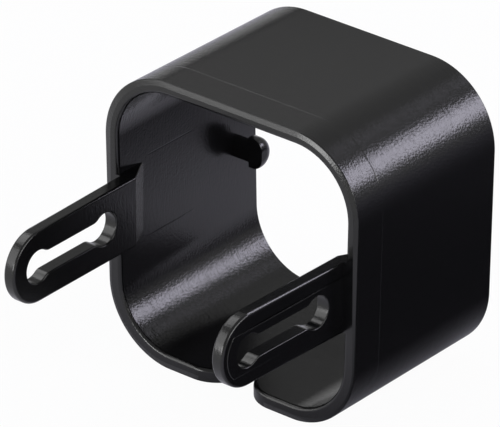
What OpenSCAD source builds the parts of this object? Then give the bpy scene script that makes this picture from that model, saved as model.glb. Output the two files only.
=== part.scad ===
// Modular cable holder, moulded in one piece.
// A rounded square ring gathers the cables, which go in through a slit in its underside.
// Two slotted arms at the front hook over the two headed studs at the back of the next
// holder, so that holders chain up at a spacing that the slots let slide.
// Lengths are in millimetres. X runs to the right, Y to the back and Z up, and the origin
// is in the middle of the underside.

/* [Ring] */
// Width over the side walls, at their upper end
ring_w = 75; // [62:0.5:110]
// Height over the top and bottom walls
ring_h = 74.5; // [64:0.5:110]
// Depth from the front edge to the back edge
ring_d = 50.5; // [36:0.5:90]
// Thickness of the walls
wall_t = 3.2; // [2:0.1:4]
// Outside radius of the four corners
corner_r = 18.7; // [10:0.1:20]
// How far each side wall leans inwards at its foot, which keeps the slit nearly shut
wall_lean = 0.8; // [0:0.1:2.5]

/* [Slit] */
// Gap between the lips of the bottom wall
slit_w = 4.5; // [1:0.5:8]
// Radius of the lips' corners, seen from below
lip_r = 9; // [2:0.5:10]

/* [Arms] */
// Length in front of the ring
arm_l = 41.9; // [38:0.1:60]
// Height, which also sets the round end
arm_h = 18.2; // [14:0.1:22]
// Thickness of the plate
arm_t = 3; // [2:0.1:4]
// Height of the arms' middle line above the underside
arm_z = 36.8; // [32:0.2:42]
// Space between the ring's side wall and the plate
arm_gap = 0.95; // [0.7:0.05:2]
// How far the tip of each arm lies inwards of its root
arm_toe = 0.65; // [0:0.05:2]
// Length of the root behind the front edge, up to its ramp
root_l = 1.8; // [1:0.1:6]
// Length of the ramp that runs the root out into the wall
ramp_l = 7.3; // [3:0.1:12]

/* [Slot in each arm] */
// Diameter of the round ends, which let a stud's head through
slot_end_d = 8.25; // [8.2:0.05:10]
// Height between the round ends, which slides along a stud's shaft
slot_h = 5.7; // [5.5:0.05:6.6]
// Distance between the centres of the round ends
slot_pitch = 23.7; // [16:0.1:24.5]
// Distance from the arm's tip to the centre of the nearer round end
slot_tip = 8.9; // [8:0.1:10]
// Radius that blends the slot's sides into its round ends
slot_blend_r = 3; // [0.5:0.1:4]
// Height of the raised pad round the slot, on the arm's outer face
pad_h = 10.8; // [10.4:0.1:12]
// Thickness of the pad
pad_t = 0.3; // [0.2:0.05:0.65]
// Border between the pad and the arm's round end
pad_border = 1.5; // [0.5:0.1:2]

/* [Studs] */
// Diameter of the shaft
stud_d = 5.4; // [4:0.1:5.4]
// Play of an arm between the wall that it lies on and the head
stud_play = 0.5; // [0.2:0.1:3]
// Diameter of the head
head_d = 8; // [6.5:0.1:8.1]
// Thickness of the head
head_t = 4.1; // [3:0.1:6]
// Radius that rounds the head's end
head_r = 2.8; // [0.5:0.1:2.9]
// Distance from the axis to the flat along the stud's front, where the mould parts
stud_flat = 0.7; // [0.1:0.1:1.6]
// Distance from the back edge of the ring to the shaft's axis
stud_back = 7.7; // [5:0.1:14]

/* [Hidden] */
$fn = 96;

front_y = -ring_d / 2;
back_y = ring_d / 2;
// Heights of the centres of the upper and lower corners
upper_z = ring_h - corner_r;
lower_z = corner_r;
// Half the distance between the centres of the upper corners, and of the lower ones
upper_x = ring_w / 2 - corner_r;
lower_x = upper_x - wall_lean;
// Tilt of the side walls from upright
lean_angle = atan2(wall_lean, upper_z - lower_z);

// Distance of the side wall's inner face from the middle, at a height
function inner_x(z) = lower_x + (upper_x - lower_x) * (z - lower_z) / (upper_z - lower_z)
    + (corner_r - wall_t) / cos(lean_angle);

wall_x = inner_x(arm_z);
arm_out_x = wall_x - arm_gap;
arm_in_x = arm_out_x - arm_t;
end_r = arm_h / 2;
// Clear length of a stud's shaft, from the wall to the head, which takes the arm of the next holder
stud_l = arm_gap + arm_t + stud_play;
// Depth in the side wall at which the roots and the studs end
sunk_x = wall_x + wall_t / 2;
// Overlap by which a cut passes the faces that it opens
over = 1;
// Depth by which a slanted side or a blend lies inside its arcs, so that they always cross
bite = 0.001;
holder_color = [0.07, 0.07, 0.08];

// Outline of the ring at a depth below its outer face: four arcs joined by their common tangents
module ring_outline(inset) {
    r = corner_r - inset;
    nx = (r - bite) * cos(lean_angle);
    nz = (r - bite) * sin(lean_angle);
    for (side = [-1, 1]) {
        translate([side * upper_x, upper_z]) circle(r);
        translate([side * lower_x, lower_z]) circle(r);
    }
    polygon([
        [upper_x, upper_z + r], [upper_x + nx, upper_z - nz],
        [lower_x + nx, lower_z - nz], [lower_x, lower_z - r],
        [-lower_x, lower_z - r], [-lower_x - nx, lower_z - nz],
        [-upper_x - nx, upper_z - nz], [-upper_x, upper_z + r]
    ]);
}

// Closed band of the ring, from front edge to back edge
module ring() {
    translate([0, back_y, 0])
        rotate([90, 0, 0])
            linear_extrude(ring_d)
                difference() {
                    ring_outline(0);
                    ring_outline(wall_t);
                }
}

// Plan of the slit, which flares out round the corners of the lips
module slit_plan() {
    square([slit_w, ring_d + 2 * over], center = true);
    for (side = [-1, 1], end = [-1, 1])
        scale([side, end])
            difference() {
                translate([0, ring_d / 2 - lip_r])
                    square([slit_w / 2 + lip_r, lip_r + over]);
                translate([slit_w / 2 + lip_r, ring_d / 2 - lip_r])
                    circle(lip_r);
                translate([slit_w / 2 + lip_r, ring_d / 2 - lip_r])
                    square([over, lip_r + over]);
            }
}

module slit() {
    translate([0, 0, -over])
        linear_extrude(wall_t + 2 * over)
            slit_plan();
}

// Plan of the right arm, seen from above, with the ramp that runs its root out into the wall.
// The front edge of the ring is at Y = 0.
module arm_plan() {
    sunk_l = ramp_l * (sunk_x - arm_in_x) / (wall_x - arm_in_x);
    polygon([
        [arm_in_x - arm_toe, -arm_l], [arm_in_x, 0], [arm_in_x, root_l],
        [sunk_x, root_l + sunk_l], [sunk_x, 0],
        [arm_out_x, 0], [arm_out_x - arm_toe, -arm_l]
    ]);
}

// Plan of the pad on the outer face, from inside the plate to inside the root
module pad_plan() {
    mid_x = arm_in_x + arm_t / 2;
    pad_x = arm_out_x + pad_t;
    polygon([
        [mid_x - arm_toe, -arm_l], [mid_x, 0], [mid_x, root_l / 2],
        [pad_x, root_l / 2], [pad_x, 0], [pad_x - arm_toe, -arm_l]
    ]);
}

// Side view of an arm, with a round tip at Y = -arm_l, inset from its edge
module arm_side(inset) {
    translate([end_r - arm_l, 0])
        circle(end_r - inset);
    translate([end_r - arm_l, inset - end_r])
        square([arm_l + root_l + 2 * ramp_l, arm_h - 2 * inset]);
}

// Blend between a round end of the slot and its upper side
module slot_blend() {
    end_slot_r = slot_end_d / 2;
    blend_z = slot_h / 2 + slot_blend_r;
    blend_x = sqrt(pow(end_slot_r + slot_blend_r - bite, 2) - pow(blend_z, 2));
    difference() {
        polygon([[0, 0], [blend_x, 0], [blend_x, blend_z]]);
        translate([blend_x, blend_z])
            circle(slot_blend_r);
    }
}

// Side view of the slot, centred: two round ends, a narrower way between them and its blends
module slot_side() {
    square([slot_pitch, slot_h], center = true);
    for (end = [-1, 1])
        translate([end * slot_pitch / 2, 0]) {
            circle(d = slot_end_d);
            for (side = [-1, 1])
                scale([-end, side])
                    slot_blend();
        }
}

// Carries a side view, Y to the right and Z up, through the whole right half along X
module through_x() {
    rotate([90, 0, 90])
        linear_extrude(ring_w)
            children();
}

// Arm on the right side, with its root, its pad and its slot
module arm() {
    translate([0, front_y, arm_z])
        difference() {
            union() {
                intersection() {
                    linear_extrude(2 * arm_h, center = true) arm_plan();
                    through_x() arm_side(0);
                }
                intersection() {
                    linear_extrude(pad_h, center = true) pad_plan();
                    through_x() arm_side(pad_border);
                }
            }
            translate([0, slot_tip + slot_pitch / 2 - arm_l, 0])
                through_x() slot_side();
        }
}

// Section of a head, standing on its back face, with a rounded end
module head_section() {
    flat_r = head_d / 2 - head_r;
    rim_t = head_t - head_r;
    square([head_d / 2, rim_t]);
    square([flat_r, head_t]);
    translate([flat_r, rim_t])
        intersection() {
            circle(head_r);
            square(head_r);
        }
}

// Section of a stud: shaft, running into a head
module stud_section() {
    head_z = sunk_x - wall_x + stud_l;
    square([stud_d / 2, head_z + head_t / 2]);
    translate([0, head_z])
        head_section();
}

// Stud on the right side wall, pointing to the middle, with a flat along its front
module stud() {
    translate([sunk_x, back_y - stud_back, arm_z])
        rotate([0, -90, 0])
            difference() {
                rotate_extrude()
                    stud_section();
                translate([-head_d, -stud_flat - head_d, -over])
                    cube([2 * head_d, head_d, stud_l + head_t + wall_t + 2 * over]);
            }
}

module cable_holder() {
    color(holder_color) {
        difference() {
            ring();
            slit();
        }
        for (side = [0, 1])
            mirror([side, 0, 0]) {
                arm();
                stud();
            }
    }
}

cable_holder();
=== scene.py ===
"""Modular cable holder in one piece of satin black plastic, on a plain white studio floor.

The ring, the two slotted arms and the two headed studs are modelled by hand and united into one
shell, which takes the place of the plain solid. Lengths are in millimetres while the shell is
modelled, and the finished shell is scaled to metres. The finish and the studio are in metres.
"""

from __future__ import annotations

import logging
import math
from dataclasses import dataclass, field
from enum import Enum
from typing import Any, Callable, Mapping, Sequence, Union

import bmesh
import bpy
from mathutils import Matrix, Vector

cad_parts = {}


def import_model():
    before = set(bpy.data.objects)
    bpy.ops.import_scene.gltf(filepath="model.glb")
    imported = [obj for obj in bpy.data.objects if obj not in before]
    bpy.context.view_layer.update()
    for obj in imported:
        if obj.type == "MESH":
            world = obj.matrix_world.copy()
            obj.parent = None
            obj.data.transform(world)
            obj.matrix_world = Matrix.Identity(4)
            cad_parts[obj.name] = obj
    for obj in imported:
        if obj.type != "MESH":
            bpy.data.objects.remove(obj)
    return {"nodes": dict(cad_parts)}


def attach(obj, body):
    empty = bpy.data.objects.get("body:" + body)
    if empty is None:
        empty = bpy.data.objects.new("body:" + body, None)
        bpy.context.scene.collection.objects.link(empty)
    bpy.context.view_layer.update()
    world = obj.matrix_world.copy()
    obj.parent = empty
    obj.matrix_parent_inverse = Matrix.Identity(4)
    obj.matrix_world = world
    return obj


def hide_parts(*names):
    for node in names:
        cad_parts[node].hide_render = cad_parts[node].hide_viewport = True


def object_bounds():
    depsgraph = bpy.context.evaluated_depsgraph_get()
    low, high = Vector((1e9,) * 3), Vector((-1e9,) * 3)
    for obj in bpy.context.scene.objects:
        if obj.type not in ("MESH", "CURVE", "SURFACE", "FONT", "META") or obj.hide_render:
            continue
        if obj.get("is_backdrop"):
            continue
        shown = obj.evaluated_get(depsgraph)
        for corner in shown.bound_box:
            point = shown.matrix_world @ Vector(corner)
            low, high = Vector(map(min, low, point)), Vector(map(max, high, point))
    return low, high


LOG = logging.getLogger("cable_holder")

MM = 0.001
BODY = "root"
SOLID = "cable_holder"

# Millimetres within which corners are doubles, are at one place, or are roughly at one place.
DOUBLED = 2e-4
NEAR = 0.01
ROUGHLY = 0.1
# Part of a unit normal past which a face counts as facing along an axis.
FACING = 0.8
# Angles below which faces lie in one plane, and past which an edge is sharp or nearly square.
FLAT = math.radians(0.4)
SHARP = math.radians(40)
NEARLY_SQUARE = math.radians(60)
# Part of a crossed lamp's light that is lost when a second wall mirrors it, as polarised light is.
SECOND_IMAGE_LOSS = 0.9

Pair = tuple[float, float]
Triple = tuple[float, float, float]
Piece = bpy.types.Object
Edge = bmesh.types.BMEdge
EdgeTest = Callable[[Edge], bool]


class Side(Enum):
    """Side of the holder, as the sign of its X."""

    RIGHT = 1
    LEFT = -1


class End(Enum):
    """Front or back end of the holder, as the sign of its Y."""

    FRONT = -1
    BACK = 1


class Cut(Enum):
    """What one solid does to another."""

    UNITE = "UNION"
    SUBTRACT = "DIFFERENCE"


class Keep(Enum):
    """What a cutting plane leaves: all, or only what is behind it or ahead of it."""

    ALL = "all"
    BEHIND = "behind"
    AHEAD = "ahead"


class Fade(Enum):
    """Course of a value between its two ends."""

    SOFT = "SMOOTHSTEP"
    STRAIGHT = "LINEAR"


class Ray(Enum):
    """What a shader can know of the ray that meets it."""

    FROM_CAMERA = "Is Camera Ray"
    FROM_GLOSS = "Is Glossy Ray"
    THROUGH_GLASS = "Is Transmission Ray"
    MIRRORINGS = "Glossy Depth"


class Bench:
    """Edit mode on one mesh, with corners, edges and faces picked by place or normal."""

    def __init__(self, piece: Piece) -> None:
        """Takes the piece to work on."""
        self.piece = piece

    def __enter__(self) -> Bench:
        """Opens edit mode on the piece alone.

        Returns:
            The bench itself.
        """
        select_only(self.piece)
        bpy.ops.object.mode_set(mode="EDIT")
        return self

    def __exit__(self, *_: Any) -> None:
        """Leaves edit mode."""
        bpy.ops.object.mode_set(mode="OBJECT")

    def pick_all(self) -> None:
        """Selects the whole mesh."""
        bpy.ops.mesh.select_mode(type="VERT")
        bpy.ops.mesh.select_all(action="SELECT")

    def pick_corners(self, test: Callable[[Vector], bool]) -> None:
        """Selects the corners whose place passes a test."""
        self._pick("VERT", "verts", lambda corner: test(corner.co))

    def pick_edges(self, test: EdgeTest) -> None:
        """Selects the edges that pass a test."""
        self._pick("EDGE", "edges", test)

    def pick_faces(self, test: Callable[[Vector, Vector], bool]) -> None:
        """Selects the faces whose centre and normal pass a test."""
        self._pick("FACE", "faces", lambda face: test(face.calc_center_median(), face.normal))

    def cut_at(self, place: Triple, normal: Triple, keep: Keep = Keep.ALL) -> None:
        """Cuts what is selected along a plane, and closes the cut where a side is dropped.

        Args:
            place: a point of the plane.
            normal: the plane's normal, which points ahead.
            keep: what is left.
        """
        bpy.ops.mesh.bisect(
            plane_co=place,
            plane_no=normal,
            use_fill=keep is not Keep.ALL,
            clear_outer=keep is Keep.BEHIND,
            clear_inner=keep is Keep.AHEAD,
        )

    def extrude(self, move: Triple) -> None:
        """Extrudes what is selected and moves it."""
        bpy.ops.mesh.extrude_region_move(TRANSFORM_OT_translate={"value": move})

    def move(self, move: Triple) -> None:
        """Moves what is selected."""
        bpy.ops.transform.translate(value=move)

    def resize(self, scale: Triple, centre: Triple = (0, 0, 0)) -> None:
        """Scales what is selected about a centre."""
        bpy.ops.transform.resize(value=scale, center_override=centre)

    def round_off(self, radius: float, steps: int, corners: bool = False) -> None:
        """Rounds the selected edges, or the selected corners of a sheet."""
        bpy.ops.mesh.bevel(offset=radius, segments=steps, affect="VERTICES" if corners else "EDGES")

    def drop_faces(self) -> None:
        """Deletes the selected faces."""
        bpy.ops.mesh.delete(type="FACE")

    def merge_doubles(self, distance: float = DOUBLED) -> None:
        """Merges corners of the whole mesh that are within a distance."""
        self.pick_all()
        bpy.ops.mesh.remove_doubles(threshold=distance)

    def merge_flat(self) -> None:
        """Merges doubled corners, and faces that lie in one plane."""
        self.merge_doubles()
        bpy.ops.mesh.dissolve_limited(angle_limit=FLAT)

    def face_outwards(self) -> None:
        """Turns every face outwards."""
        self.pick_all()
        bpy.ops.mesh.normals_make_consistent(inside=False)

    def _pick(self, mode: str, items: str, test: Callable[[Any], bool]) -> None:
        """Selects the items that pass a test and nothing else.

        Args:
            mode: select mode of Blender.
            items: name of the mesh's list that holds the items.
            test: takes an item.
        """
        bpy.ops.mesh.select_mode(type=mode)
        bpy.ops.mesh.select_all(action="DESELECT")
        mesh = bmesh.from_edit_mesh(self.piece.data)
        mesh.normal_update()
        for item in [item for item in getattr(mesh, items) if test(item)]:
            item.select_set(True)
        bmesh.update_edit_mesh(self.piece.data)


def select_only(piece: Piece) -> None:
    """Makes one object the only selected one, and the active one.

    Args:
        piece: the object.
    """
    bpy.ops.object.select_all(action="DESELECT")
    piece.select_set(True)
    bpy.context.view_layer.objects.active = piece


def added(name: str) -> Piece:
    """Names the object that was just added and applies its place, turn and scale.

    Args:
        name: the object's new name.

    Returns:
        The object, with its place in its mesh.
    """
    piece = bpy.context.object
    piece.name = name
    piece.data.name = name
    bpy.ops.object.transform_apply(location=True, rotation=True, scale=True)
    return piece


def add_box(name: str, low: Triple, high: Triple) -> Piece:
    """Adds a box.

    Args:
        name: the object's name.
        low: its lowest corner.
        high: its highest corner.

    Returns:
        The box.
    """
    centre = [(a + b) / 2 for a, b in zip(low, high)]
    bpy.ops.mesh.primitive_cube_add(size=1, location=centre, scale=[b - a for a, b in zip(low, high)])
    return added(name)


def add_rod(name: str, start: Triple, end_x: float, radius: float, sides: int) -> Piece:
    """Adds a rod along X.

    Args:
        name: the object's name.
        start: the middle of its first end.
        end_x: X of its other end.
        radius: its radius.
        sides: how many sides it has.

    Returns:
        The rod.
    """
    bpy.ops.mesh.primitive_cylinder_add(
        vertices=sides,
        radius=radius,
        depth=abs(end_x - start[0]),
        location=((start[0] + end_x) / 2, start[1], start[2]),
        rotation=(0, math.pi / 2, 0),
    )
    return added(name)


def apply_modifier(piece: Piece, kind: str, **settings: Any) -> None:
    """Adds a modifier to a piece, sets it and applies it.

    Args:
        piece: the piece.
        kind: the modifier's type.
        **settings: its settings.
    """
    modifier = piece.modifiers.new(kind.title(), kind)
    for name, value in settings.items():
        setattr(modifier, name, value)
    select_only(piece)
    bpy.ops.object.modifier_apply(modifier=modifier.name)


def combine(piece: Piece, tool: Piece, cut: Cut) -> None:
    """Unites a tool with a piece or cuts it away, and removes the tool."""
    apply_modifier(piece, "BOOLEAN", operation=cut.value, object=tool, solver="EXACT")
    bpy.data.objects.remove(tool)


def middle_of(edge: Edge) -> Vector:
    """Gives the middle of an edge."""
    return (edge.verts[0].co + edge.verts[1].co) / 2


def is_convex(edge: Edge, angle: float = SHARP) -> bool:
    """Says whether an edge juts out by more than an angle."""
    return edge.is_manifold and edge.calc_face_angle_signed(0.0) > angle


def runs_along(edge: Edge, axis: int) -> bool:
    """Says whether an edge runs along an axis."""
    run = edge.verts[1].co - edge.verts[0].co
    return abs(run[axis]) > FACING * run.length


def borders_facing(edge: Edge, side: Side) -> bool:
    """Says whether an edge borders a face that looks to one side."""
    return any(face.normal.x * side.value > FACING for face in edge.link_faces)


@dataclass
class Ring:
    """Rounded square band with a slit in its underside.

    Its side walls lean inwards at the foot. Its depth runs from the front edge, at -Y, to the back
    one. Its drafts make the wall thicker at the front edge and thinner at the back one.
    """

    width: float = 75.0
    height: float = 74.5
    depth: float = 50.5
    wall: float = 3.2
    corner_radius: float = 18.7
    foot_lean: float = 0.8
    slit: float = 4.5
    lip_radius: float = 9.0
    outer_draft: float = 0.13
    inner_draft: float = 0.22
    front_radius: float = 0.25
    front_inner_radius: float = 1.0
    back_radius: float = 0.2
    corner_steps: int = 32
    lip_steps: int = 20
    rim_steps: int = 6

    @property
    def lean(self) -> float:
        """Angle of the side walls from upright."""
        return math.atan2(self.foot_lean, self.height - 2 * self.corner_radius)

    def outer_x(self, z: float) -> float:
        """Gives the distance of a side wall's outer face from the middle.

        Args:
            z: the height.

        Returns:
            The distance at that height.
        """
        middle = self.width / 2 - self.corner_radius - self.foot_lean
        rise = z - self.corner_radius
        return middle + self.corner_radius / math.cos(self.lean) + rise * math.tan(self.lean)

    def inner_x(self, z: float) -> float:
        """Gives the distance of a side wall's inner face from the middle, at a height."""
        return self.outer_x(z) - self.wall / math.cos(self.lean)

    def build(self) -> Piece:
        """Models the band: a bent sheet with a slit, thickened, with rounded rims.

        Returns:
            The band.
        """
        ring = self._sheet()
        self._cut_slit(ring)
        apply_modifier(ring, "SOLIDIFY", thickness=self.wall, offset=-1, use_even_offset=True)
        self._draw_rims(ring)
        self._round_rims(ring)
        return ring

    def _sheet(self) -> Piece:
        """Bends the band's outer face: a box without ends, whose four long edges are rounded.

        Returns:
            The closed sheet.
        """
        half_top, half_y = self.outer_x(self.height), self.depth / 2
        sheet = add_box("ring", (-half_top, -half_y, 0), (half_top, half_y, self.height))
        quarter = math.pi / 4
        with Bench(sheet) as bench:
            bench.pick_faces(lambda centre, normal: abs(normal.y) > FACING)
            bench.drop_faces()
            bench.pick_corners(lambda place: place.z < NEAR)
            bench.resize((self.outer_x(0) / half_top, 1, 1))
            for z, half_angle in ((self.height, quarter - self.lean / 2), (0, quarter + self.lean / 2)):
                bench.pick_edges(
                    lambda edge, z=z: abs(middle_of(edge).z - z) < NEAR and runs_along(edge, 1)
                )
                bench.round_off(self.corner_radius / math.tan(half_angle), self.corner_steps)
        return sheet

    def _cut_slit(self, sheet: Piece) -> None:
        """Cuts the slit out of the underside and rounds the corners of its lips.

        Args:
            sheet: the closed sheet.
        """
        half = self.slit / 2
        with Bench(sheet) as bench:
            for x in (-half, half):
                bench.pick_faces(lambda centre, normal: centre.z < NEAR)
                bench.cut_at((x, 0, 0), (1, 0, 0))
            bench.pick_faces(lambda centre, normal: centre.z < NEAR and abs(centre.x) < half)
            bench.drop_faces()
            bench.pick_corners(lambda place: place.z < NEAR and abs(abs(place.x) - half) < NEAR)
            bench.round_off(self.lip_radius, self.lip_steps, corners=True)

    def _draw_rims(self, ring: Piece) -> None:
        """Gives the band its draft.

        Args:
            ring: the band.
        """
        middle = (0, 0, self.height / 2)
        with Bench(ring) as bench:
            for end in End:
                for inner, draft in ((True, self.inner_draft), (False, -self.outer_draft)):
                    bench.pick_corners(
                        lambda place, end=end, inner=inner: place.y * end.value > 0
                        and self._is_inner(place) == inner
                    )
                    growth = 2 * end.value * draft
                    bench.resize((1 + growth / self.width, 1, 1 + growth / self.height), middle)

    def _round_rims(self, ring: Piece) -> None:
        """Rounds the front rim well and the back rim a little.

        Args:
            ring: the band.
        """
        with Bench(ring) as bench:
            bench.face_outwards()
            for end, inner, radius in (
                (End.FRONT, False, self.front_radius),
                (End.FRONT, True, self.front_inner_radius),
                (End.BACK, False, self.back_radius),
                (End.BACK, True, self.back_radius),
            ):
                bench.pick_edges(
                    lambda edge, end=end, inner=inner: is_convex(edge, NEARLY_SQUARE)
                    and all(self._at_rim(v.co, end) and self._is_inner(v.co) == inner for v in edge.verts)
                )
                bench.round_off(radius, self.rim_steps)

    def _is_inner(self, place: Vector) -> bool:
        """Says on which of the band's two faces a point is.

        Args:
            place: the point.

        Returns:
            True on the inner face.
        """
        across = max(abs(place.x) - self.width / 2 + self.corner_radius, 0)
        upright = max(abs(place.z - self.height / 2) - self.height / 2 + self.corner_radius, 0)
        return math.hypot(across, upright) < self.corner_radius - self.wall / 2 - self.foot_lean / 4

    def _at_rim(self, place: Vector, end: End) -> bool:
        """Says whether a point is on the rim at one end, or on a lip's corner there.

        Args:
            place: the point.
            end: which rim.

        Returns:
            True on that rim.
        """
        at_lip = place.z < 2 * self.wall and abs(place.x) < self.slit / 2 + self.lip_radius + ROUGHLY
        depth = self.lip_radius - ROUGHLY if at_lip else ROUGHLY
        return place.y * end.value > self.depth / 2 - depth


@dataclass
class Slot:
    """Slot in an arm: two round ends, a narrower way between them, and blends where they meet."""

    end_radius: float = 4.125
    way: float = 5.7
    pitch: float = 23.7
    blend_radius: float = 3.0
    end_steps: int = 30
    blend_steps: int = 6

    def build_cutter(self, centre: Triple, reach: float) -> Piece:
        """Models the solid that the slot takes away, from one quarter of its outline.

        Args:
            centre: the slot's centre.
            reach: how far the solid goes to each side of it along X.

        Returns:
            The solid.
        """
        bpy.ops.mesh.primitive_plane_add(size=1)
        cutter = added("slot_cutter")
        end_y = self.pitch / 2
        blend_z = self.way / 2 + self.blend_radius
        apart = self.end_radius + self.blend_radius
        blend_y = end_y - math.sqrt(apart**2 - blend_z**2)
        meeting = math.atan2(blend_z, blend_y - end_y)
        with Bench(cutter) as bench:
            bench.pick_all()
            bpy.ops.mesh.merge(type="CENTER")
            bench.move((-reach, end_y + self.end_radius, 0))
            self._swing((-reach, end_y, 0), meeting, self.end_steps)
            self._swing((-reach, blend_y, blend_z), math.pi / 2 - meeting, self.blend_steps)
            bench.extrude((0, -blend_y, 0))
            bench.merge_doubles()
        for axes in ((False, True, False), (False, False, True)):
            apply_modifier(cutter, "MIRROR", use_axis=axes, merge_threshold=NEAR)
        with Bench(cutter) as bench:
            bench.merge_flat()
            bench.pick_all()
            bpy.ops.mesh.edge_face_add()
            bench.extrude((2 * reach, 0, 0))
            bench.face_outwards()
            bench.move(centre)
        return cutter

    def _swing(self, centre: Triple, angle: float, steps: int) -> None:
        """Draws an arc from the selected corner, turning from Y towards Z about a centre."""
        bpy.ops.mesh.spin(steps=steps, angle=-angle, center=centre, axis=(1, 0, 0))


@dataclass
class Arm:
    """Slotted arm on the right side wall, with its root and the low pad round its slot.

    The plate lies inside the wall's face by the gap, and its tip is further inside by the toe. The
    root's ramp runs out into the wall. The pad gets lower by its fall towards the tip.
    """

    length: float = 41.9
    height: float = 18.2
    thickness: float = 3.3
    middle_z: float = 36.8
    gap: float = 0.65
    toe: float = 0.65
    root: float = 1.8
    ramp: float = 7.3
    slot: Slot = field(default_factory=Slot)
    slot_tip: float = 8.9
    pad_height: float = 10.8
    pad_thickness: float = 0.3
    pad_fall: float = 0.06
    pad_border: float = 1.5
    edge_radius: float = 0.65
    outer_edge_radius: float = 0.75
    slot_edge_radius: float = 0.4
    slot_outer_edge_radius: float = 0.25
    pad_edge_radius: float = 0.19
    gap_end_radius: float = 0.25
    tip_steps: int = 24
    edge_steps: int = 5
    pad_sides: int = 128
    # How far a corner of the pad's edge may lie from the pad's face.
    pad_edge_reach: float = 0.08
    # What is left flat between the two roundings of the tip, so that they never cross.
    tip_flat: float = 0.001
    # Places that are known once the arm is built against a ring.
    outer_x: float = field(init=False)
    inner_x: float = field(init=False)
    pad_x: float = field(init=False)
    sunk_x: float = field(init=False)
    front_y: float = field(init=False)
    tip_y: float = field(init=False)
    sunk_length: float = field(init=False)

    def build(self, ring: Ring) -> Piece:
        """Models the arm against the ring's right side wall.

        Args:
            ring: the band that carries the arm.

        Returns:
            The arm, with rounded edges.
        """
        wall_x = ring.inner_x(self.middle_z)
        self.outer_x = wall_x - self.gap
        self.inner_x = self.outer_x - self.thickness
        self.pad_x = self.outer_x + self.pad_thickness
        self.sunk_x = wall_x + ring.wall / 2
        self.front_y = -ring.depth / 2
        self.tip_y = self.front_y - self.length
        self.sunk_length = self.ramp * (self.sunk_x - self.inner_x) / (wall_x - self.inner_x)
        arm = self._plate()
        combine(arm, self._pad(), Cut.UNITE)
        slot_centre = (self.outer_x, self.tip_y + self.slot_tip + self.slot.pitch / 2, self.middle_z)
        combine(arm, self.slot.build_cutter(slot_centre, 3 * self.thickness), Cut.SUBTRACT)
        self._round(arm)
        return arm

    def _plate(self) -> Piece:
        """Models the plate with its ramped root, and rounds its tip.

        Returns:
            The plate.
        """
        root_y, tip_end = self.front_y + self.root, self.tip_y + ROUGHLY
        top = self.middle_z + self.height / 2
        low = (self.inner_x, self.tip_y, top - self.height)
        plate = add_box("arm", low, (self.outer_x, root_y, top))
        with Bench(plate) as bench:
            bench.pick_faces(lambda centre, normal: normal.x > FACING)
            bench.cut_at((0, self.front_y, 0), (0, 1, 0))
            bench.pick_faces(lambda centre, normal: normal.x > FACING and centre.y > self.front_y)
            bench.extrude((self.sunk_x - self.outer_x, 0, 0))
            bench.merge_flat()
            bench.pick_corners(
                lambda place: place.x > self.outer_x + ROUGHLY and place.y > self.front_y + ROUGHLY
            )
            bench.move((0, self.sunk_length, 0))
            bench.pick_corners(lambda place: place.y < tip_end)
            bench.move((-self.toe, 0, 0))
            bench.pick_edges(lambda edge: middle_of(edge).y < tip_end and runs_along(edge, 0))
            bench.round_off(self.height / 2 - self.tip_flat, self.tip_steps)
            bench.merge_doubles(NEAR)
            bench.face_outwards()
        return plate

    def _pad(self) -> Piece:
        """Models the pad: a disc drawn out to the root, cut off above and below, and turned.

        Returns:
            The pad, from inside the plate to its outer face.
        """
        end_y, radius = self.tip_y + self.height / 2, self.height / 2 - self.pad_border
        start = (self.inner_x + self.thickness / 2, end_y, self.middle_z)
        pad = add_rod("pad", start, self.pad_x, radius, self.pad_sides)
        with Bench(pad) as bench:
            bench.pick_all()
            bench.cut_at((0, end_y, 0), (0, 1, 0), Keep.BEHIND)
            bench.pick_faces(lambda centre, normal: normal.y > FACING)
            bench.extrude((0, self.front_y + self.root / 2 - end_y, 0))
            for offset, keep in ((self.pad_height / 2, Keep.BEHIND), (-self.pad_height / 2, Keep.AHEAD)):
                bench.pick_all()
                bench.cut_at((0, 0, self.middle_z + offset), (0, 0, 1), keep)
            bench.merge_flat()
            bench.face_outwards()
            bpy.ops.transform.rotate(
                value=math.atan2(self.toe + self.pad_fall, self.length),
                orient_axis="Z",
                center_override=(self.outer_x, self.front_y, self.middle_z),
            )
        return pad

    def _round(self, arm: Piece) -> None:
        """Fills the gap's inner corner and rounds the edges of the pad, the slot and the plate.

        Args:
            arm: the arm with its pad and its slot.
        """
        roundings: Sequence[tuple[float, EdgeTest]] = (
            (self.gap_end_radius, self._ends_gap),
            (self.pad_edge_radius, self._edges_pad),
            (self.slot_edge_radius, self._edges_slot_inside),
            (self.slot_outer_edge_radius, self._edges_slot_outside),
            (self.edge_radius, self._edges_plate_inside),
            (self.outer_edge_radius, self._edges_plate_outside),
        )
        with Bench(arm) as bench:
            bench.merge_flat()
            bench.face_outwards()
            for radius, test in roundings:
                bench.pick_edges(test)
                bench.round_off(radius, self.edge_steps)

    def _at_pad(self, edge: Edge) -> bool:
        """Says whether an edge lies in the pad's outer face."""
        x = self.pad_x - (self.toe + self.pad_fall) * (self.front_y - middle_of(edge).y) / self.length
        return all(abs(v.co.x - x) < self.pad_edge_reach for v in edge.verts)

    def _in_slot(self, edge: Edge) -> bool:
        """Says whether an edge belongs to the slot.

        Args:
            edge: the edge.

        Returns:
            True up to the slot's outline, seen from the side.
        """
        middle, first_y = middle_of(edge), self.tip_y + self.slot_tip
        along = min(max(middle.y, first_y), first_y + self.slot.pitch)
        return math.hypot(middle.y - along, middle.z - self.middle_z) < self.slot.end_radius + NEAR

    def _in_open_air(self, edge: Edge) -> bool:
        """Says whether an edge is outside the ring's wall, at least at one end."""
        return any(v.co.x < self.sunk_x - ROUGHLY for v in edge.verts)

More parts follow.
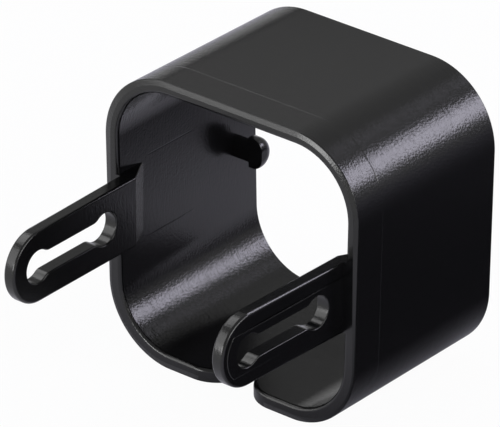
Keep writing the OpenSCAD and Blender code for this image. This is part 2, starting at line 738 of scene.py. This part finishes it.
    def _ends_gap(self, edge: Edge) -> bool:
        """Says whether an edge is the hollow corner between the pad and the gap's end."""
        corner = (self.pad_x, self.front_y)
        return not is_convex(edge, 0.0) and all(math.dist(v.co.xy, corner) < NEAR for v in edge.verts)

    def _edges_pad(self, edge: Edge) -> bool:
        """Says whether an edge goes round the pad."""
        return is_convex(edge) and self._at_pad(edge) and not self._in_slot(edge)

    def _edges_slot_inside(self, edge: Edge) -> bool:
        """Says whether an edge goes round the slot on the inside."""
        return is_convex(edge) and self._in_slot(edge) and borders_facing(edge, Side.LEFT)

    def _edges_slot_outside(self, edge: Edge) -> bool:
        """Says whether an edge goes round the slot on the outside."""
        return is_convex(edge, NEARLY_SQUARE) and self._in_slot(edge) and not borders_facing(edge, Side.LEFT)

    def _edges_plate_inside(self, edge: Edge) -> bool:
        """Says whether an edge goes round the plate on the inside."""
        in_reach = self._in_open_air(edge) and not self._in_slot(edge)
        return is_convex(edge) and in_reach and borders_facing(edge, Side.LEFT)

    def _edges_plate_outside(self, edge: Edge) -> bool:
        """Says whether an edge goes round the plate on the outside."""
        in_reach = self._in_open_air(edge) and not self._in_slot(edge) and not self._at_pad(edge)
        return is_convex(edge, NEARLY_SQUARE) and in_reach and borders_facing(edge, Side.RIGHT)


@dataclass
class Stud:
    """Headed stud on the right side wall, pointing to the middle, with a flat along its front."""

    shaft_radius: float = 2.7
    shaft_length: float = 4.45
    head_radius: float = 4.0
    head_thickness: float = 4.1
    end_radius: float = 2.8
    neck_radius: float = 0.15
    flat: float = 0.7
    back: float = 7.7
    middle_z: float = 36.8
    sides: int = 96
    end_steps: int = 14
    neck_steps: int = 4

    def build(self, ring: Ring) -> Piece:
        """Models the stud: a shaft, drawn out into a wider rounded head, and cut flat in front.

        Args:
            ring: the band that carries the stud.

        Returns:
            The stud.
        """
        wall_x, axis_y = ring.inner_x(self.middle_z), ring.depth / 2 - self.back
        neck_x = wall_x - self.shaft_length
        face_x = neck_x - self.head_thickness
        start = (wall_x + ring.wall / 2, axis_y, self.middle_z)
        stud = add_rod("stud", start, neck_x, self.shaft_radius, self.sides)
        with Bench(stud) as bench:
            bench.pick_faces(lambda centre, normal: normal.x < -FACING)
            bench.extrude((0, 0, 0))
            wider = self.head_radius / self.shaft_radius
            bench.resize((1, wider, wider), (neck_x, axis_y, self.middle_z))
            bench.extrude((face_x - neck_x, 0, 0))
            bench.face_outwards()
            for x, radius, steps in (
                (face_x, self.end_radius, self.end_steps),
                (neck_x, self.neck_radius, self.neck_steps),
            ):
                bench.pick_edges(
                    lambda edge, x=x: is_convex(edge) and all(abs(v.co.x - x) < NEAR for v in edge.verts)
                )
                bench.round_off(radius, steps)
            bench.pick_all()
            bench.cut_at((0, axis_y - self.flat, 0), (0, 1, 0), Keep.AHEAD)
            bench.face_outwards()
        return stud


@dataclass
class Holder:
    """The whole moulding: the ring with an arm and a stud on each side."""

    ring: Ring = field(default_factory=Ring)
    arm: Arm = field(default_factory=Arm)
    stud: Stud = field(default_factory=Stud)
    smooth_angle: float = math.radians(22)
    face_weight: int = 80

    def build(self) -> Piece:
        """Models the moulding, in metres.

        Returns:
            The moulding as one closed shell.
        """
        shell = self.ring.build()
        for side in Side:
            for part in (self.arm, self.stud):
                combine(shell, self._on_side(part.build(self.ring), side), Cut.UNITE)
        shell.name = shell.data.name = "holder_moulding"
        with Bench(shell) as bench:
            bench.merge_doubles()
            bench.face_outwards()
            bench.resize((MM, MM, MM))
        select_only(shell)
        bpy.ops.object.shade_smooth_by_angle(angle=self.smooth_angle)
        apply_modifier(shell, "WEIGHTED_NORMAL", keep_sharp=True, weight=self.face_weight)
        return shell

    def _on_side(self, part: Piece, side: Side) -> Piece:
        """Leaves a part on the right side or mirrors it to the left one.

        Args:
            part: an arm or a stud, on the right side.
            side: where it goes.

        Returns:
            The part.
        """
        if side is Side.LEFT:
            with Bench(part) as bench:
                bench.pick_all()
                bench.resize((-1, 1, 1))
                bench.face_outwards()
        return part


Number = Union[float, "Term"]


class Term:
    """A socket of a shader graph that takes part in Python sums."""

    def __init__(self, graph: Graph, socket: bpy.types.NodeSocket | None) -> None:
        """Takes the graph and the socket that gives the value."""
        self.graph = graph
        self.socket = socket

    def _sum(self, operation: str, first: Number, second: Number = 0.0) -> Term:
        """Adds a Math node for one operation."""
        return self.graph.node("ShaderNodeMath", {"operation": operation}, {0: first, 1: second})

    def __add__(self, other: Number) -> Term:
        """Adds."""
        return self._sum("ADD", self, other)

    def __sub__(self, other: Number) -> Term:
        """Subtracts."""
        return self._sum("SUBTRACT", self, other)

    def __rsub__(self, other: Number) -> Term:
        """Subtracts from a number."""
        return self._sum("SUBTRACT", other, self)

    def __mul__(self, other: Number) -> Term:
        """Multiplies."""
        return self._sum("MULTIPLY", self, other)

    def size(self) -> Term:
        """Drops the sign."""
        return self._sum("ABSOLUTE", self)

    def at_least(self, low: float) -> Term:
        """Raises what is below a limit to it."""
        return self._sum("MAXIMUM", self, low)

    def root(self) -> Term:
        """Takes the square root."""
        return self._sum("SQRT", self)

    __radd__ = __add__
    __rmul__ = __mul__


class Graph:
    """Shader graph of a material, a lamp or the world."""

    def __init__(self, tree: bpy.types.NodeTree) -> None:
        """Takes the node tree and empties it."""
        self.tree = tree
        tree.nodes.clear()

    def node(
        self, kind: str, settings: Mapping[str, Any], inputs: Mapping[Any, Any], output: Any = 0
    ) -> Term:
        """Adds a node.

        Args:
            kind: the node's type.
            settings: its own settings, which are set first.
            inputs: values or links of its sockets, by name or number.
            output: name or number of the output that is given back.

        Returns:
            The chosen output, which is empty for a node that has none.
        """
        node = self.tree.nodes.new(kind)
        for name, value in settings.items():
            setattr(node, name, value)
        for name, value in inputs.items():
            if isinstance(value, Term):
                self.tree.links.new(value.socket, node.inputs[name])
            else:
                node.inputs[name].default_value = value
        return Term(self, node.outputs[output] if len(node.outputs) else None)

    def fade(self, value: Number, start: float, end: float, course: Fade = Fade.SOFT) -> Term:
        """Gives 0 where a value is at start or before it, and 1 where it is at end or past it."""
        inputs = {"Value": value, "From Min": start, "From Max": end}
        return self.node("ShaderNodeMapRange", {"interpolation_type": course.value}, inputs)

    def glow(self, colour: Triple, strength: Number) -> Term:
        """Gives light of a colour and a strength."""
        return self.node("ShaderNodeEmission", {}, {"Color": (*colour, 1), "Strength": strength})

    def mix(self, share: Number, first: Term, second: Term) -> Term:
        """Mixes two shaders, of which the second gets the share."""
        return self.node("ShaderNodeMixShader", {}, {0: share, 1: first, 2: second})

    def ray(self, kind: Ray) -> Term:
        """Gives what is known of the ray."""
        return self.node("ShaderNodeLightPath", {}, {}, kind.value)

    def mirrored_ray(self) -> Term:
        """Gives 1 for rays that come by gloss or glass."""
        return self.ray(Ray.FROM_GLOSS) + self.ray(Ray.THROUGH_GLASS)

    def first_image(self) -> Term:
        """Gives 1, and much less for rays that two glossy walls have mirrored."""
        once, twice = 1.2, 1.8
        return 1 - self.fade(self.ray(Ray.MIRRORINGS), once, twice) * SECOND_IMAGE_LOSS

    def end(self, kind: str, surface: Term) -> None:
        """Ends the graph in the output node of a "Material", a "Light" or the "World"."""
        self.node(f"ShaderNodeOutput{kind}", {}, {"Surface": surface})

    def axes(self, place: str = "Object") -> tuple[Term, Term, Term]:
        """Gives X, Y and Z of a place."""
        point = self.node("ShaderNodeTexCoord", {}, {}, place)
        return tuple(self.node("ShaderNodeSeparateXYZ", {}, {0: point}, axis) for axis in "XYZ")


def new_material(name: str) -> tuple[bpy.types.Material, Graph]:
    """Makes a material.

    Args:
        name: its name.

    Returns:
        The material and its empty graph.
    """
    material = bpy.data.materials.new(name)
    material.use_nodes = True
    return material, Graph(material.node_tree)


@dataclass(frozen=True)
class MouldLine:
    """Straight trace of the mould, at a place on one axis and between two places along another.

    It is a fine ridge, or a groove where its height is negative.
    """

    across: int
    place: float
    along: int
    start: float
    end: float
    inside: bool
    height: float
    half_width: float = 0.0002
    full_share: float = 0.97

    def relief(self, graph: Graph, inside: Term) -> Term:
        """Gives the line's height.

        Args:
            graph: the finish's graph.
            inside: 1 on the ring's inside and 0 outside.

        Returns:
            The height, which is 0 away from the line.
        """
        axes = graph.axes()
        middle, half = (self.start + self.end) / 2, (self.end - self.start) / 2
        line = graph.fade((axes[self.across] - self.place).size(), self.half_width, 0.0)
        reach = graph.fade((axes[self.along] - middle).size(), half, half * self.full_share)
        return line * reach * (inside if self.inside else 1 - inside) * self.height


@dataclass(frozen=True)
class SatinBlack:
    """Moulded black plastic with a satin gloss, flow waves, a fine grain and the mould's traces.

    Fine drag marks run round the ring, and the grain is stronger in the ring's corners. The core is
    an upright rectangle within the ring, from which the ring's faces keep an equal distance.
    """

    colour: Triple = (0.0018, 0.0018, 0.002)
    refraction: float = 1.5
    roughness: float = 0.22
    roughness_change: float = 0.05
    wave_scale: float = 70.0
    wave_height: float = 0.00001
    grain_scale: float = 1900.0
    grain_height: float = 0.00002
    drag_scale: Triple = (320.0, 2300.0, 320.0)
    drag_height: float = 0.00002
    corner_grain: float = 1.6
    # Where a corner starts and where it is full: distances beyond the core, one times the other.
    corner_span: Pair = (0.00001, 0.00006)
    core_half: Pair = (0.0188, 0.0186)
    core_middle: float = 0.0372
    # Distances from the core between which the ring's outside passes into its inside.
    inside_span: Pair = (0.0167, 0.0161)
    # The front rim's outer part falls back from this distance on, by this slope.
    rim_slope_start: float = 0.0173
    rim_slope: float = 0.36
    rim_span: Pair = (-0.0251, -0.02515)
    lines: Sequence[MouldLine] = (
        MouldLine(1, -0.01625, 0, -0.05, 0.05, False, -0.00004),
        MouldLine(2, 0.0470, 1, -0.0144, 0.0018, True, -0.00002),
        MouldLine(2, 0.0262, 1, -0.0153, 0.0018, True, 0.00002),
    )

    def material(self) -> bpy.types.Material:
        """Makes the finish.

        Returns:
            The material.
        """
        material, graph = new_material("satin_black")
        point = graph.node("ShaderNodeTexCoord", {}, {}, "Object")
        drawn_out = graph.node("ShaderNodeMapping", {}, {"Vector": point, "Scale": self.drag_scale})
        wave = self._noise(graph, point, self.wave_scale, 2.0)
        grain = self._noise(graph, point, self.grain_scale)
        drag = self._noise(graph, drawn_out, 1.0)
        fine = (grain - 0.5) * self.grain_height + (drag - 0.5) * self.drag_height
        height = (wave - 0.5) * self.wave_height + fine * (self._in_corner(graph) * self.corner_grain + 1)
        inside = self._inside(graph)
        for line in self.lines:
            height = height + line.relief(graph, inside)
        relief = {"Strength": 1.0, "Distance": 1.0, "Height": height - self._rim_fall(graph)}
        sockets = {
            "Base Color": (*self.colour, 1),
            "Roughness": (wave - 0.5) * self.roughness_change + self.roughness,
            "IOR": self.refraction,
            "Normal": graph.node("ShaderNodeBump", {}, relief, "Normal"),
        }
        graph.end("Material", graph.node("ShaderNodeBsdfPrincipled", {}, sockets))
        return material

    def _noise(self, graph: Graph, point: Term, scale: float, detail: float = 1.0) -> Term:
        """Gives noise of a scale, around one half."""
        return graph.node("ShaderNodeTexNoise", {}, {"Vector": point, "Scale": scale, "Detail": detail})

    def _beyond(self, graph: Graph) -> tuple[Term, Term]:
        """Gives how far a place is beyond the core.

        Args:
            graph: the finish's graph.

        Returns:
            The distances sideways and upright, which are 0 within the core.
        """
        across, _, up = graph.axes()
        side = (across.size() - self.core_half[0]).at_least(0.0)
        return side, ((up - self.core_middle).size() - self.core_half[1]).at_least(0.0)

    def _away(self, graph: Graph) -> Term:
        """Gives the distance from the core."""
        side, upright = self._beyond(graph)
        return (side * side + upright * upright).root()

    def _in_corner(self, graph: Graph) -> Term:
        """Gives 1 in the ring's rounded corners and 0 on its flat walls."""
        side, upright = self._beyond(graph)
        return graph.fade(side * upright, *self.corner_span)

    def _inside(self, graph: Graph) -> Term:
        """Gives 1 on the ring's inside and on the arms, and 0 on the ring's outside."""
        return graph.fade(self._away(graph), *self.inside_span)

    def _rim_fall(self, graph: Graph) -> Term:
        """Gives the depth by which the outer part of the front rim falls back."""
        front = graph.fade(graph.axes()[1], *self.rim_span, Fade.STRAIGHT)
        return (self._away(graph) - self.rim_slope_start).at_least(0.0) * self.rim_slope * front


@dataclass(frozen=True)
class Lamp:
    """Softbox aimed at the holder, given by the direction in which it stands.

    Bearings run from the back, +Y, towards the right, +X, in degrees. Brightness is the radiance of
    its face, on the scale where the white floor is about 1. The light of a crossed lamp is weak once
    two walls have mirrored it.
    """

    name: str
    bearing: float
    elevation: float
    distance: float
    size: Pair
    brightness: float
    colour: Triple = (1.0, 1.0, 1.0)
    crossed: bool = False

    def build(self, aim: Vector) -> None:
        """Places the lamp and turns it to a point.

        Args:
            aim: the point.
        """
        light = bpy.data.lights.new(self.name, "AREA")
        light.shape = "RECTANGLE"
        light.size, light.size_y = self.size
        light.energy = self.brightness * math.pi * self.size[0] * self.size[1]
        light.use_nodes = True
        graph = Graph(light.node_tree)
        surface = graph.glow(self.colour, graph.first_image() if self.crossed else 1.0)
        graph.end("Light", surface)
        lamp = bpy.data.objects.new(self.name, light)
        bpy.context.scene.collection.objects.link(lamp)
        out = direction(self.bearing, self.elevation)
        lamp.location = aim + out * self.distance
        lamp.rotation_euler = (-out).to_track_quat("-Z", "Y").to_euler()


def direction(bearing: float, elevation: float) -> Vector:
    """Gives the unit vector of a bearing, from +Y towards +X, and an elevation.

    Args:
        bearing: the bearing in degrees.
        elevation: the elevation in degrees.

    Returns:
        The vector.
    """
    turn, rise = math.radians(bearing), math.radians(elevation)
    level = math.cos(rise)
    return Vector((math.sin(turn) * level, math.cos(turn) * level, math.sin(rise)))


def show_to_gloss_only(piece: Piece) -> None:
    """Makes a piece part of the studio that nothing but the holder's gloss sees.

    Args:
        piece: the piece.
    """
    piece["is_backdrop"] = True
    for ray in ("camera", "diffuse", "shadow", "transmission", "volume_scatter"):
        setattr(piece, f"visible_{ray}", False)


@dataclass(frozen=True)
class Studio:
    """White floor, pale surroundings and softboxes.

    Only gloss sees the painted shadow sheet at the back right, which stands in for the holder's
    shadow on the floor, and the dark strip at the back left.
    """

    lamps: Sequence[Lamp] = (
        Lamp("rim_softbox", 43.2, 24.5, 0.6, (0.25, 0.19), 6.8, (1.0, 0.97, 1.14), crossed=True),
        Lamp("rim_strip", 16.0, 43.5, 1.2, (0.35, 0.10), 1.2, (1.0, 0.97, 1.14), crossed=True),
        Lamp("key_softbox", -135.0, 24.0, 1.3, (0.9, 0.9), 2.2),
        Lamp("top_softbox", -85.0, 52.0, 1.3, (0.7, 0.5), 2.4),
        Lamp("front_softbox", -163.0, 7.0, 1.0, (0.36, 0.28), 8.5),
        Lamp("side_softbox", 86.0, 20.0, 1.0, (0.95, 0.2), 7.0),
    )
    floor_half: float = 6.0
    floor_colour: Triple = (0.69, 0.68, 0.78)
    # What the camera sees of a shadow on the floor, and how white gloss sees the floor, away from
    # the front left and in the painted pool of light there, where the key softbox falls.
    shadow_share: float = 0.04
    mirrored_white: float = 0.12
    front_left_slant: float = -0.5
    front_left_span: Pair = (0.0, 0.25)
    front_left_loss: float = 0.12
    # The painted shadow's near corner, its size and soft border, and its shade by distance.
    shadow_sheet_low: Pair = (0.0, -0.09)
    shadow_sheet_size: float = 4.0
    shadow_sheet_soft: float = 0.055
    shadow_sheet_shades: Sequence[Pair] = ((0.1, 0.03), (0.36, 0.185), (1.2, 0.35))
    shadow_sheet_tint: Triple = (1.0, 0.97, 1.18)
    strip_bearing: float = -39.6
    strip_distance: float = 0.3
    strip_height: float = 0.162
    strip_size: Pair = (0.3, 0.046)
    strip_shade: float = 0.04
    # How bright the surroundings are in gloss, level, level at the right and overhead, and for
    # other rays.
    horizon: float = 0.78
    right_horizon: float = 0.4
    right_span: Pair = (0.3, 0.9)
    zenith: float = 0.42
    zenith_height: float = 0.5
    ambient: float = 0.5

    def build(self, aim: Vector) -> None:
        """Lays the floor and the painted shadow sheet, hangs the strip, and sets the lamps and the world.

        Args:
            aim: the point that the lamps are turned to.
        """
        self._floor()
        self._painted_shadow()
        self._strip()
        for lamp in self.lamps:
            lamp.build(aim)
        self._world()

    def _floor(self) -> None:
        """Lays the floor, which the camera sees as white with a faint shadow."""
        bpy.ops.mesh.primitive_plane_add(size=2 * self.floor_half)
        floor = added("floor")
        floor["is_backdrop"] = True
        material, graph = new_material("white_floor")
        across, along, _ = graph.axes()
        # Gloss sees the floor's front left glowing white: painted light where the key softbox falls.
        painted_light_pool = graph.fade(across * self.front_left_slant - along, *self.front_left_span)
        seen = graph.ray(Ray.FROM_CAMERA) * (1 - self.shadow_share)
        whiteness = painted_light_pool * (1 - self.mirrored_white) + self.mirrored_white
        strength = graph.ray(Ray.FROM_GLOSS) * painted_light_pool * -self.front_left_loss + 1
        paper = graph.node("ShaderNodeBsdfDiffuse", {}, {"Color": (*self.floor_colour, 1)})
        white = graph.glow((1, 1, 1), strength)
        surface = graph.mix(seen + graph.mirrored_ray() * whiteness, paper, white)
        graph.end("Material", surface)
        floor.data.materials.append(material)

    def _painted_shadow(self) -> None:
        """Lays the painted shadow sheet, a glow that stands in for the holder's shadow on the floor: dark
        near the holder and paler far off.
        """
        place = [low + self.shadow_sheet_size / 2 for low in self.shadow_sheet_low]
        bpy.ops.mesh.primitive_plane_add(size=self.shadow_sheet_size, location=(*place, MM))
        shadow_sheet = added("painted_shadow_sheet")
        show_to_gloss_only(shadow_sheet)
        material, graph = new_material("painted_shadow_sheet")
        across, along, _ = graph.axes()
        cover: Number = 1.0
        for term, low in zip((across, along), self.shadow_sheet_low):
            cover = graph.fade(term, low, low + self.shadow_sheet_soft) * cover
        distance = (across * across + along * along).root()
        # Painted shadow of the holder on the floor: a tinted glow, dark near the holder and paler with
        # distance.
        shade: Number = self.shadow_sheet_shades[0][1]
        for (near, dark), (far, pale) in zip(self.shadow_sheet_shades, self.shadow_sheet_shades[1:]):
            shade = graph.fade(distance, near, far, Fade.STRAIGHT) * (pale - dark) + shade
        clear = graph.node("ShaderNodeBsdfTransparent", {}, {})
        graph.end("Material", graph.mix(cover, clear, graph.glow(self.shadow_sheet_tint, shade)))
        shadow_sheet.data.materials.append(material)

    def _strip(self) -> None:
        """Hangs the dark strip, which the holder's lips mirror and its top does not."""
        place = direction(self.strip_bearing, 0.0) * self.strip_distance
        place.z = self.strip_height
        turned = (math.pi / 2, 0, -math.radians(self.strip_bearing))
        bpy.ops.mesh.primitive_plane_add(size=1, location=place, rotation=turned)
        strip = bpy.context.object
        strip.name = "dark_strip"
        strip.scale = (*self.strip_size, 1)
        show_to_gloss_only(strip)
        material, graph = new_material("dark_strip")
        graph.end("Material", graph.glow((1, 1, 1), self.strip_shade))
        strip.data.materials.append(material)

    def _world(self) -> None:
        """Sets pale surroundings, which the camera sees as white."""
        world = bpy.data.worlds.new("studio")
        bpy.context.scene.world = world
        world.use_nodes = True
        graph = Graph(world.node_tree)
        across, along, up = graph.axes("Generated")
        height = graph.fade(up, 0.0, self.zenith_height)
        right = graph.fade((across + along) * math.sqrt(0.5), *self.right_span)
        edge = right * (self.right_horizon - self.horizon) + self.horizon
        mirrored = (height * (self.zenith - edge) + edge) * (1 - right * (1 - graph.first_image()))
        camera, glossy = graph.ray(Ray.FROM_CAMERA), graph.mirrored_ray()
        strength = camera + glossy * mirrored + (1 - camera - glossy) * self.ambient
        inputs = {"Color": (1, 1, 1, 1), "Strength": strength}
        graph.end("World", graph.node("ShaderNodeBackground", {}, inputs))


@dataclass(frozen=True)
class View:
    """Camera that stands as the photographer's did. Its turn is from the front to the right."""

    turn: float = 39.59
    elevation: float = 27.58
    roll: float = 0.09
    distance: float = 1.6512
    aim: Triple = (-0.00887, -0.00742, 0.03707)
    lens: float = 512.3
    sensor: float = 36.0
    clip: Pair = (0.1, 20.0)

    def build(self) -> None:
        """Makes the scene's camera."""
        back = direction(180.0 - self.turn, self.elevation)
        data = bpy.data.cameras.new("camera")
        data.lens, data.sensor_width = self.lens, self.sensor
        data.clip_start, data.clip_end = self.clip
        camera = bpy.data.objects.new("camera", data)
        bpy.context.scene.collection.objects.link(camera)
        camera.location = Vector(self.aim) + back * self.distance
        looking = (-back).to_track_quat("-Z", "Y").to_matrix()
        camera.rotation_euler = (looking @ Matrix.Rotation(math.radians(self.roll), 3, "Z")).to_euler()
        bpy.context.scene.camera = camera


def main() -> None:
    """Builds the studio and the holder around the frame."""
    logging.basicConfig(level=logging.INFO, format="%(name)s: %(message)s")
    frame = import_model()
    solid_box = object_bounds()
    bpy.context.scene.view_settings.view_transform = "Standard"

    View().build()
    Studio().build(Vector((0, 0, sum(c.z for c in solid_box) / 2)))

    shell = Holder().build()
    shell.data.materials.clear()
    shell.data.materials.append(SatinBlack().material())
    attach(shell, BODY)
    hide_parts(SOLID)
    LOG.info("%s: %d faces", shell.name, len(shell.data.polygons))
    LOG.info("nodes that the frame holds: %s", ", ".join(frame["nodes"]))


if __name__ == "__main__":
    main()
